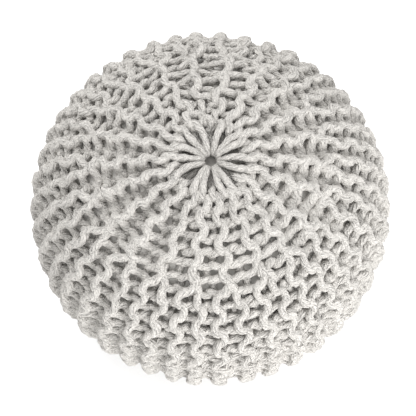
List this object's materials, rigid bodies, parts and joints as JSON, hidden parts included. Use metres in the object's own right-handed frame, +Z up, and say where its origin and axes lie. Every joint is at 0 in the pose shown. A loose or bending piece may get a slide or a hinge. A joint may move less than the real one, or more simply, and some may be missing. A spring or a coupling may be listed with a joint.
{
  "type": "knitted pouf",
  "caption": "Low round pouf with a chunky garter-stitch cover, its ridges gathered at the crown, over a filled casing. A soft footstool or low seat.",
  "frame": {"origin": "centre of the flat underside, on the surface that the pouf stands on", "axes": "+Z up through the crown's eye; -Y towards the camera of the picture"},
  "size_m": [0.4986, 0.4991, 0.3389],
  "materials": {
    "cotton_yarn": "matt, plied cotton yarn in a warm pale grey",
    "casing_cloth": "matt, smooth plain-woven cotton"
  },
  "bodies": {
    "root": {"knit_cover": "cotton_yarn", "inner_casing": "casing_cloth"}
  },
  "joints": []
}
